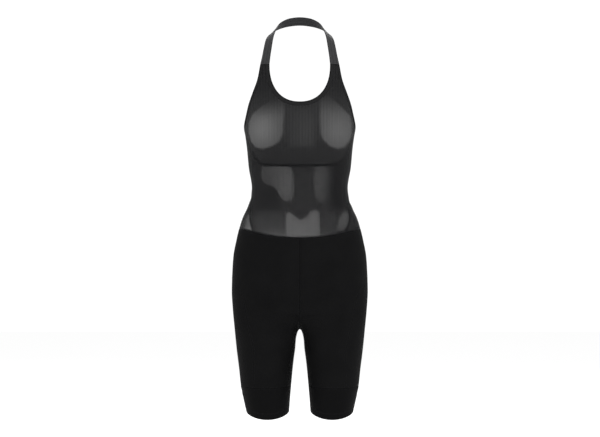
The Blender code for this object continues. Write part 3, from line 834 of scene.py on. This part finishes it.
def even_out(points, faces, mask):
    """Relax the masked points towards the middle of their neighbours."""
    edges, _ = face_edges(faces)
    both = np.concatenate([edges, edges[:, ::-1]])
    count = np.bincount(both[:, 0], minlength=len(points))[:, None]
    for _ in range(RELAX_TIMES):
        total = np.zeros_like(points)
        np.add.at(total, both[:, 0], points[both[:, 1]])
        points = points + mask[:, None] * 0.5 * (total / count - points)
    return points


def add_object(name, data):
    made = bpy.data.objects.new(name, data)
    bpy.context.scene.collection.objects.link(made)
    return made


def mesh_object(name, points, faces, material, uv=None):
    """A mesh in metres, with the cloth's own coordinates at the faces' corners as its UV map."""
    mesh = bpy.data.meshes.new(name)
    mesh.from_pydata((points * MM).tolist(), [], faces)
    if uv is not None:
        mesh.uv_layers.new(name="cloth_mm").data.foreach_set("uv", uv.ravel())
    mesh.materials.append(material)
    mesh.shade_smooth()
    return add_object(name, mesh)


def vertex_normals(mesh):
    normals = np.empty(len(mesh.vertices) * 3)
    mesh.vertex_normals.foreach_get("vector", normals)
    return normals.reshape(-1, 3)


# What each piece's stitches lie on: its points, its faces and how far its cloth rises above them
OUTER = {}


def cloth(name, grids, uvs, material, lift, thickness, side=1, lets=None, tuck=None, relax=None):
    """A thin closed shell from grids of points that share edges, with rolled seam edges."""
    points = np.concatenate([grid.reshape(-1, 3) for grid in grids]) * (side, 1, 1)
    uv_points = np.concatenate([uv.reshape(-1, 2) for uv in uvs])
    faces, start = [], 0
    for grid in grids:
        rows, columns = grid.shape[:2]
        faces.append(quad_faces(rows, columns, start))
        start += rows * columns
    faces = np.concatenate(faces)[:, ::side]
    uv = uv_points[faces.ravel()]
    points, faces = weld(points, faces)
    if relax is not None:
        points = even_out(points, faces, relax(points))
    rolled = distance_to(boundary_points(points, faces), points)
    sink = ROLL_DEPTH * np.exp(-(rolled / ROLL_REACH) ** 2) + crease_depth(points)
    if tuck is not None:
        sink += TUCK_DEPTH * tuck(points)
    piece = mesh_object(name, points, faces.tolist(), material, uv)
    mesh = piece.data
    if lets is not None:
        values = mesh.attributes.new("lets", "FLOAT", "POINT")
        doubled = SEAM_LETS + (1 - SEAM_LETS) * ramp(rolled, *SEAM_LETS_FADE)
        values.data.foreach_set("value", (lets(points) * doubled).astype(np.float32))
    placed = points + vertex_normals(mesh) * (lift - sink)[:, None]
    mesh.vertices.foreach_set("co", (placed * MM).ravel())
    mesh.update()
    OUTER[name] = (placed, faces, thickness)
    shell = piece.modifiers.new("shell", "SOLIDIFY")
    shell.thickness = thickness * MM
    shell.offset = 1.0
    shell.use_even_offset = True
    return piece


def filter_rows(grid, rows):
    """Smooth a grid along its columns beside the given rows, so that no kink is left there."""
    index = np.arange(len(grid))
    weight = np.zeros(len(grid))
    for row in rows:
        weight = np.maximum(weight, ramp(FILTER_REACH - np.abs(index - row), 0, FILTER_REACH))
    weight[0] = weight[-1] = 0
    weight = weight[:, None, None] * ramp(grid[..., :1], *FILTER_CLEAR)
    for _ in range(FILTER_TIMES):
        mean = grid.copy()
        mean[1:-1] = (grid[:-2] + 2 * grid[1:-1] + grid[2:]) / 4
        grid = grid + weight * (mean - grid)
    return grid


def arc_uv(grid):
    """Cloth coordinates from distances along the rows and columns of a grid."""
    return np.stack([run_along(grid, 1), -run_along(grid)], axis=-1)


# The shorts
def shorts_rows():
    """Where the rows of the shorts lie: the share from the waist to the split, then heights."""
    band_top = BAND_Z + SEAM_GAP / 2
    crotch = spread(SPLIT_Z, LEG_TOP_Z, CROTCH_ROWS)[1:]
    leg = spread(LEG_TOP_Z, band_top, LEG_ROWS)[1:]
    fine = band_top + np.array(EDGE_STEPS[::-1])
    leg = np.concatenate([leg[:-1][leg[:-1] > fine[0] + 1], fine, leg[-1:]])
    return spread(0, 1, HIP_ROWS), np.concatenate([crotch, leg])


def panel_u(surface, z, sides, cells, edges):
    """The columns of a panel's row at height z, between the seams at its sides."""
    first, last = (seam_at(side, surface, z) for side in sides)
    return columns_between(first, last, cells, *edges)


def outer_grid(sides, cells, edges):
    """A panel from the waist seam to the leg band, between two seams."""
    shares, heights = shorts_rows()
    rows = []
    for share in shares:
        nominal = waist_z(SIDE_U) + (SPLIT_Z - waist_z(SIDE_U)) * share
        u = panel_u(body_point, nominal, sides, cells, edges)
        top = waist_z(u) - WAIST_GAP / 2
        rows.append(body_point(u, top + (SPLIT_Z - top) * share))
    for z in heights:
        rows.append(shorts_surface(panel_u(shorts_surface, z, sides, cells, edges), z))
    return filter_rows(np.array(rows), (HIP_ROWS, HIP_ROWS + CROTCH_ROWS))


def inner_grid(sides, edges):
    """The inner thigh's part of a panel, from the crotch seam to the leg band."""
    heights = [SPLIT_Z - JUST_BELOW, *shorts_rows()[1]]
    rows = [shorts_surface(panel_u(shorts_surface, z, sides, INNER_COLUMNS, edges), z) for z in heights]
    return filter_rows(np.array(rows), (CROTCH_ROWS,))


def clear_of_middle(grid):
    held = grid.copy()
    held[..., 0] = np.maximum(held[..., 0], SEAM_GAP / 2)
    return held


def near_crotch_ends(points):
    """1 where the inner thigh meets the centre front and back seams, and not on those seams."""
    ends = [(0, float(read(BODY, BODY_COLUMNS, name, SPLIT_Z)), SPLIT_Z) for name in ("front", "back")]
    gap = np.minimum(*(np.linalg.norm(points - np.array(end), axis=1) for end in ends))
    return ramp(RELAX_REACH - gap, 0, RELAX_FADE) * (np.abs(points[:, 0]) > SEAM_GAP)


def shorts_grids():
    """The grids of each panel. The inner thigh's share the points of the outer ones' edges."""
    front = outer_grid((0.0, FRONT_SIDE_SEAM), FRONT_COLUMNS, (False, True))
    front_inner = inner_grid((INSEAM_U, 0.0), (True, False))
    side_panel = outer_grid((FRONT_SIDE_SEAM, SIDE_BACK_SEAM), SIDE_COLUMNS, (True, True))
    back = outer_grid((SIDE_BACK_SEAM, 1.0), BACK_COLUMNS, (True, False))
    back_inner = inner_grid((1.0, 2 + INSEAM_U), (False, True))
    front_inner[:, -1] = front[HIP_ROWS:, 0]
    back_inner[:, 0] = back[HIP_ROWS:, -1]
    grids = {"front": [front, front_inner], "side": [side_panel], "back": [back, back_inner]}
    return {name: [clear_of_middle(grid) for grid in made] for name, made in grids.items()}


def band_grid():
    around = spread(INSEAM_U, 2 + INSEAM_U, BAND_COLUMNS)
    top = BAND_Z - SEAM_GAP / 2
    shares = np.concatenate([BAND_FIRST_SHARES, spread(*BAND_SHARES, BAND_ROWS), BAND_LAST_SHARES])
    return leg_point(around, top + (leg_hem_z(around) - top) * shares[:, None])


# The bib
def both_halves(grid, flip):
    """A grid from the centre out to +X, with its mirror image, as one grid from -X to +X."""
    return np.concatenate([grid[:, :0:-1] * flip, grid], axis=1)


def on_body(lines):
    """Points and cloth coordinates of (u, z) lines on the body."""
    u, z = lines[..., 0], lines[..., 1]
    far = u > 1
    half = np.where(far, 2 - u, u)
    run = round_mm(half, z)
    run = np.where(far, 2 * round_mm(np.ones_like(u), z) - run, run)
    return body_point(u, z), np.stack([run, z], axis=-1)


def halves_on_body(lines):
    points, uv = on_body(lines)
    return both_halves(points, np.array([-1, 1, 1])), both_halves(uv, np.array([-1, 1]))


def bib_shares():
    return np.concatenate([BIB_FIRST_SHARES, spread(*BIB_SHARES, BIB_ROWS)])


def bib_front_grids():
    """Rows up to the armholes' steep part, then rows that turn round the neckline."""
    neck = neck_inset(NECK_BINDING_WIDTH - NECK_UNDERLAP)
    arm = arm_inset(ARM_BINDING_WIDTH - ARM_UNDERLAP)
    underarm_z = arm[0, 1]
    rows = []
    for share in bib_shares():
        middle = waist_z(ROW_U) + (underarm_z - waist_z(ROW_U)) * share
        side = seam_at(BIB_SIDE_SEAM, body_point, middle)
        edge = columns_between((0.0, 1.0), side, BIB_COLUMNS, False, True)
        z = waist_z(edge) + WAIST_GAP / 2
        rows.append(np.stack([edge, z + (underarm_z - z) * share], axis=-1))
    out = rows[-1][:, 0] / rows[-1][-1, 0]
    for i, (end_u, end_z) in enumerate(arm[1:ARMHOLE_ROWS + 1], start=1):
        middle_z = underarm_z + (CHEST_ROW_Z - underarm_z) * i / ARMHOLE_ROWS
        rows.append(np.stack([end_u * out, middle_z + (end_z - middle_z) * out ** 2], axis=-1))
    waist = np.array(rows)
    outer = np.concatenate([waist[-1], arm[ARMHOLE_ROWS + 1:]])
    at, want = np.linspace(0, 1, len(neck)), np.linspace(0, 1, len(outer))
    inner = np.stack([np.interp(want, at, neck[:, 0]), np.interp(want, at, neck[:, 1])], axis=-1)
    shares = (1 - np.cos(spread(0, math.pi, CHEST_ROWS))) / 2
    chest = outer + (inner - outer) * shares[:, None, None]
    return [halves_on_body(waist), halves_on_body(chest)]


def bib_back_grids():
    top = back_inset(ARM_BINDING_WIDTH - ARM_UNDERLAP)
    rows = []
    for share in bib_shares():
        middle = waist_z(ROW_U) + (top[0, 1] - waist_z(ROW_U)) * share
        u0, speed = seam_at(BIB_SIDE_SEAM, body_point, middle)
        u = columns_between((u0, speed), (2 - u0, speed), BIB_BACK_COLUMNS)
        bottom_z = waist_z(u) + WAIST_GAP / 2
        z = bottom_z + (np.interp(u, top[:, 0], top[:, 1]) - bottom_z) * share
        rows.append(np.stack([u, z], axis=-1))
    lines = np.array(rows)
    points, uv = on_body(lines)
    uv[..., 0] -= round_mm(np.ones(lines.shape[:2]), lines[..., 1])
    return [(points, uv)]


def line_points(line):
    """Dense points in space along a (u, z) line."""
    points = body_point(line[:, 0], line[:, 1])
    run = run_along(points)
    at = np.arange(0, run[-1], BOUNDARY_STEP)
    return np.stack([np.interp(at, run, points[:, i]) for i in range(3)], axis=-1)


def under_bindings(lines):
    """A weight that is 1 under the bindings along the given edge lines and 0 clear of them."""
    edges = []
    for line, width, flips in lines:
        points = line_points(line)
        edges.append((np.concatenate([points * flip for flip in flips]), width))

    def tuck(points):
        weight = np.zeros(len(points))
        for edge, width in edges:
            gap = distance_to(edge, points)
            weight = np.maximum(weight, ramp(width + TUCK_MARGIN - gap, 0, TUCK_FADE))
        return weight
    return tuck


# Swept bands
def swept(name, rings, uvs, material, side=1):
    """A closed solid from a row of rings of points, with its ends filled."""
    stations, around = rings.shape[:2]
    points = rings.reshape(-1, 3) * (side, 1, 1)
    row = np.arange(stations - 1)[:, None] * around
    corner = (row + np.arange(around)).ravel()
    following = (row + (np.arange(around) + 1) % around).ravel()
    faces = np.stack([corner, following, following + around, corner + around], axis=1)[:, ::side]
    ends = [np.arange(around)[::-side], np.arange((stations - 1) * around, stations * around)[::side]]
    loops = np.concatenate([faces.ravel(), *ends])
    polygons = faces.tolist() + [end.tolist() for end in ends]
    piece = mesh_object(name, points, polygons, material, uvs.reshape(-1, 2)[loops])
    for end in list(piece.data.polygons)[-2:]:
        end.use_smooth = False
    OUTER[name] = (points, faces, 0.0)
    return piece


# The binding's section: distance from its inner edge as a share of its width, and height
BINDING_PROFILE = (
    (0.00, 0.45), (0.02, 0.95), (0.07, 1.25), (0.14, 1.36), (0.20, 1.22), (0.27, 1.38), (0.38, 1.42),
    (0.45, 1.27), (0.52, 1.42), (0.66, 1.50), (0.80, 1.54), (0.90, 1.50), (0.965, 1.30), (1.00, 0.85),
    (0.97, 0.40), (0.90, 0.14), (0.60, 0.06), (0.30, 0.06), (0.05, 0.12),
)


def binding(name, edge, width, inset, material, side=1, mirrored=False):
    """A folded band swept along an edge of the bib."""
    profile = np.array(BINDING_PROFILE)
    lines = inset[:, None, :] + (edge - inset)[:, None, :] * profile[None, :, :1]
    u, z = lines[..., 0], lines[..., 1]
    rings = body_point(u, z) + body_normal(u, z) * profile[None, :, 1:]
    if mirrored:
        rings = np.concatenate([rings[:0:-1] * (-1, 1, 1), rings])
    run = run_along(rings.mean(axis=1))
    across = np.broadcast_to((1 - profile[:, 0]) * width, rings.shape[:2])
    uvs = np.stack([across, np.broadcast_to(run[:, None], rings.shape[:2])], axis=-1)
    return swept(name, rings, uvs, material, side)


def strap(material):
    """The ribbed elastic, from the bib on one side round the nape to the bib on the other."""
    end_z = STRAP_END_Z + SEAM_GAP / 2
    inner = body_point(body_u(NECKLINE_HALF_WIDTH, STRAP_END_Z), end_z)
    outer = body_point(body_u(ARMHOLE[-1][1], STRAP_END_Z), end_z)
    last = (*((inner + outer) / 2), *((outer - inner) / STRAP_WIDTH))
    half = np.array([*STRAP, last], dtype=float)
    whole = np.concatenate([half[:0:-1] * (-1, 1, 1, -1, 1, 1), half])
    run = run_along(whole[:, :3])
    table = np.column_stack([run, whole])
    columns = ("run", *STRAP_COLUMNS)
    at = spread(0, run[-1], STRAP_STATIONS)
    middle, edge = (
        np.stack([read(table, columns, name, at) for name in names], axis=-1)
        for names in (STRAP_COLUMNS[:3], STRAP_COLUMNS[3:]))
    for _ in range(STRAP_SMOOTHING):
        for line in (middle, edge):
            line[1:-1] = (line[:-2] + 2 * line[1:-1] + line[2:]) / 4
    out = np.cross(np.gradient(middle, axis=0), edge)
    out /= np.linalg.norm(out, axis=1, keepdims=True)
    if out[len(out) // 2, 1] < 0:
        out = -out
    across = np.linspace(-0.5, 0.5, STRAP_RIBS * RIB_STEPS + 1)
    bulge = RIB_HEIGHT * np.abs(np.sin(math.pi * STRAP_RIBS * (across + 0.5)))
    lip = STRAP_LIP * ramp(np.abs(across), STRAP_LIP_START, 0.5)
    top = STRAP_THICKNESS - RIB_HEIGHT + bulge - lip
    low = RIB_HEIGHT - bulge * RIB_UNDER + lip
    shape = np.concatenate([np.stack([across, top], axis=1), np.stack([across, low], axis=1)[::-1]])
    rings = (middle[:, None] + edge[:, None] * shape[None, :, :1] * STRAP_WIDTH
             + out[:, None] * shape[None, :, 1:])
    for end, before in ((0, 1), (-1, -2)):
        step = middle[end] - middle[before]
        rings[end] += step * STRAP_LAP / np.linalg.norm(step)
    uvs = np.stack([np.broadcast_to(shape[:, 0] * STRAP_WIDTH, rings.shape[:2]),
                    np.broadcast_to(at[:, None], rings.shape[:2])], axis=-1)
    ends = []
    reach = np.linspace(-STRAP_ROW_REACH, STRAP_ROW_REACH, STRAP_ROW_POINTS)[:, None] * STRAP_WIDTH
    for distance in STRAP_ROWS:
        for station in (distance, run[-1] - distance):
            centre, width, height = (
                np.array([np.interp(station, at, values[:, i]) for i in range(3)])
                for values in (middle, edge, out))
            ends.append(centre + width * reach + height * STRAP_ROW_LIFT)
    return swept("strap_elastic", rings, uvs, material), ends


# Stitches
def stitch_shape():
    """The points of one stitch, along, across and up, and its faces: two tips and two rings of four."""
    turn = math.pi / 2 * np.arange(4)
    ring = np.stack([0 * turn, np.cos(turn) * STITCH_WIDTH / 2, np.sin(turn) * STITCH_HEIGHT], axis=1)
    shoulder = np.array([STITCH_LENGTH * STITCH_SHOULDER, 0, 0])
    tip = np.array([[STITCH_LENGTH / 2, 0, 0]])
    faces = []
    for here, there in ((1, 2), (2, 3), (3, 4), (4, 1)):
        faces += [(0, there, here), (here, there, there + 4, here + 4), (here + 4, there + 4, 9)]
    return np.concatenate([-tip, ring - shoulder, ring + shoulder, tip]), faces


def stitch_rows(name, material, rows):
    """Short raised stitches along lines on pieces that are already made."""
    shape, shape_faces = stitch_shape()
    points, faces, trees = [], [], {}
    for piece, line in rows:
        if piece not in trees:
            placed, quads, thickness = OUTER[piece]
            trees[piece] = (BVHTree.FromPolygons(placed.tolist(), quads.tolist()), thickness)
        tree, thickness = trees[piece]
        run = run_along(line)
        count = max(1, int(run[-1] / STITCH_PITCH))
        centres = (np.arange(count) + 0.5) * run[-1] / count
        ends = [np.stack([np.interp(centres + shift, run, line[:, i]) for i in range(3)], axis=-1)
                for shift in (-STITCH_LENGTH / 2, STITCH_LENGTH / 2)]
        for start, end in zip(*ends):
            place, normal, _, _ = tree.find_nearest(Vector((start + end) / 2))
            if normal is None:
                continue
            normal = np.array(normal)
            along = end - start
            along -= normal * along.dot(normal)
            size = np.linalg.norm(along)
            if size < SHORTEST_STITCH:
                continue
            along /= size
            centre = np.array(place) + normal * (thickness + STITCH_LIFT)
            base = len(points)
            points.extend(centre + shape @ np.stack([along, np.cross(normal, along), normal]))
            faces += [[base + corner for corner in face] for face in shape_faces]
    return mesh_object(name, np.array(points), faces, material)


def beside(edge, towards, distance):
    """A line at a distance from a grid's edge, on the side of the next column or row."""
    inward = towards - edge
    along = np.gradient(edge, axis=0)
    along /= np.linalg.norm(along, axis=1, keepdims=True)
    inward -= along * np.sum(inward * along, axis=1, keepdims=True)
    inward /= np.linalg.norm(inward, axis=1, keepdims=True)
    return edge + inward * distance


def seam_rows(name, grid, edges, side=1, distance=SEAM_ROW):
    """A row of stitches beside each named edge of a grid that a piece was made from."""
    found = {"start": (grid[0], grid[1]), "end": (grid[-1], grid[-2]),
             "first": (grid[:, 0], grid[:, 1]), "last": (grid[:, -1], grid[:, -2])}
    return [(name, beside(*found[edge], distance) * (side, 1, 1)) for edge in edges]


# The sewn edges of each panel's grids, and the edge down the middle, which is sewn above the split
SEWN = {
    "front": (("start", "end", "last"), ("start", "end", "first")),
    "side": (("start", "end", "first", "last"),),
    "back": (("start", "end", "first"), ("start", "end", "last")),
}
MIDDLE_EDGE = {"front": ["first"], "side": [], "back": ["last"]}

materials = {
    "mesh": mesh_material(), "jersey": jersey_material(), "band": band_material(),
    "binding": binding_material(), "elastic": elastic_material(), "thread": thread_material(),
}


def settle(piece, node=None):
    """Attach a piece to the root body, and hide the part that it replaces."""
    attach(piece, "root")
    if node:
        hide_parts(node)


def make_shorts():
    stitches = []
    grids = shorts_grids()
    band = band_grid()
    for label, side in SIDES:
        for part, made in grids.items():
            node = f"shorts_{part}_{label}"
            name = f"{node}_cloth"
            relax = near_crotch_ends if len(made) > 1 else None
            piece = cloth(name, made, [arc_uv(grid) for grid in made], materials["jersey"],
                          JERSEY_LIFT, JERSEY_CLOTH, side, relax=relax)
            settle(piece, node)
            for grid, edges in zip(made, SEWN[part]):
                stitches += seam_rows(name, grid, edges, side)
            stitches += seam_rows(name, made[0][:HIP_ROWS + 1], MIDDLE_EDGE[part], side)
        node = f"leg_band_{label}"
        name = f"{node}_cloth"
        piece = cloth(name, [band], [arc_uv(band)], materials["band"], BAND_LIFT, BAND_CLOTH, side)
        settle(piece, node)
        stitches += seam_rows(name, band, ["start"], side)
        for rise in HEM_ROWS:
            stitches += seam_rows(name, band, ["end"], side, rise)
    settle(stitch_rows("shorts_stitching", materials["thread"], stitches))


def band_row(edge, inset, share, mirrored):
    """A line just above a binding, at a share of the way from its inner edge to its fold."""
    u, z = (inset + (edge - inset) * share).T
    points = body_point(u, z) + body_normal(u, z) * BINDING_ROW_LIFT
    return np.concatenate([points[:0:-1] * MIRROR[1], points]) if mirrored else points


def make_bib():
    stitches = []
    neck_edge, arm_edge, back_edge = neckline(), armhole(), back_top()
    front_bindings = [(neck_edge, NECK_BINDING_WIDTH, MIRROR), (arm_edge, ARM_BINDING_WIDTH, MIRROR)]
    back_bindings = [(back_edge, ARM_BINDING_WIDTH, MIRROR[:1])]
    for node, made, lets, bindings in (
            ("bib_front", bib_front_grids(), front_lets, front_bindings),
            ("bib_back", bib_back_grids(), back_lets, back_bindings)):
        name = f"{node}_cloth"
        piece = cloth(name, [points[::-1] for points, _ in made], [uv[::-1] for _, uv in made],
                      materials["mesh"], MESH_LIFT, MESH_CLOTH, lets=lets, tuck=under_bindings(bindings))
        settle(piece, node)
        stitches += seam_rows(name, made[0][0], ["start", "first", "last"])
    for node, edge, inset, width, side, mirrored in (
            ("neck_binding", neck_edge, neck_inset, NECK_BINDING_WIDTH, 1, True),
            ("armhole_binding_left", arm_edge, arm_inset, ARM_BINDING_WIDTH, 1, False),
            ("armhole_binding_right", arm_edge, arm_inset, ARM_BINDING_WIDTH, -1, False),
            ("back_binding", back_edge, back_inset, ARM_BINDING_WIDTH, 1, False)):
        name = f"{node}_band"
        line = inset(width)
        settle(binding(name, edge, width, line, materials["binding"], side, mirrored), node)
        for share in BINDING_ROWS:
            stitches.append((name, band_row(edge, line, share, mirrored) * (side, 1, 1)))
    piece, strap_ends = strap(materials["elastic"])
    settle(piece, "neck_strap")
    stitches += [("strap_elastic", row) for row in strap_ends]
    settle(stitch_rows("bib_stitching", materials["thread"], stitches))


# The stage, in metres
FLOOR_HALF, FLOOR_GREY, FLOOR_ROUGHNESS, SKY_STRENGTH = 6.0, 0.92, 0.9, 1.05
LIGHT_AIM = (0, 0, -0.45)
LIGHT_COLUMNS = ("name", "place", "size", "energy")
LIGHTS = (
    ("key", (1.9, -2.4, 1.1), 1.6, 46.0),
    ("fill", (-1.9, -2.5, 0.4), 1.8, 22.0),
    ("rim", (0.2, 2.4, 1.2), 1.6, 30.0),
)
# The camera: a pixel of the photograph in millimetres, and how far away the part's front is
SENSOR, PHOTO_WIDTH, PIXEL, DISTANCE = 36.0, 600, 2.38, 3.2
CAMERA_PLACE = (0.0005, -3.24, -0.4745)


def make_stage():
    """A plain pale floor, soft light from all round, two lights in front and one behind."""
    floor = bpy.data.materials.new("pale_floor")
    floor.use_nodes = True
    inputs = floor.node_tree.nodes["Principled BSDF"].inputs
    inputs["Base Color"].default_value = (FLOOR_GREY, FLOOR_GREY, FLOOR_GREY, 1)
    inputs["Roughness"].default_value = FLOOR_ROUGHNESS
    inputs["Specular IOR Level"].default_value = 0.0
    mesh = bpy.data.meshes.new("floor")
    signs = ((-1, -1), (1, -1), (1, 1), (-1, 1))
    corners = [(x * FLOOR_HALF, y * FLOOR_HALF, FLOOR_Z * MM) for x, y in signs]
    mesh.from_pydata(corners, [], [(0, 1, 2, 3)])
    mesh.materials.append(floor)
    add_object("floor", mesh)
    world = bpy.data.worlds.new("studio")
    world.use_nodes = True
    sky = world.node_tree.nodes["Background"].inputs
    sky["Color"].default_value = (1, 1, 1, 1)
    sky["Strength"].default_value = SKY_STRENGTH
    bpy.context.scene.world = world
    for row in LIGHTS:
        light = dict(zip(LIGHT_COLUMNS, row))
        data = bpy.data.lights.new(light["name"], "AREA")
        data.energy = light["energy"]
        data.size = light["size"]
        lamp = add_object(light["name"], data)
        lamp.location = light["place"]
        aim = Vector(LIGHT_AIM) - Vector(light["place"])
        lamp.rotation_euler = aim.to_track_quat("-Z", "Y").to_euler()


def make_camera():
    """The photograph's view: level, a little over three metres in front."""
    data = bpy.data.cameras.new("camera")
    data.sensor_width = SENSOR
    data.lens = SENSOR * DISTANCE / (PHOTO_WIDTH * PIXEL * MM)
    camera = add_object("camera", data)
    camera.location = CAMERA_PLACE
    camera.rotation_euler = (math.radians(90), 0, 0)
    bpy.context.scene.camera = camera


make_camera()
make_stage()
make_shorts()
make_bib()
bpy.context.scene.view_settings.view_transform = "Standard"
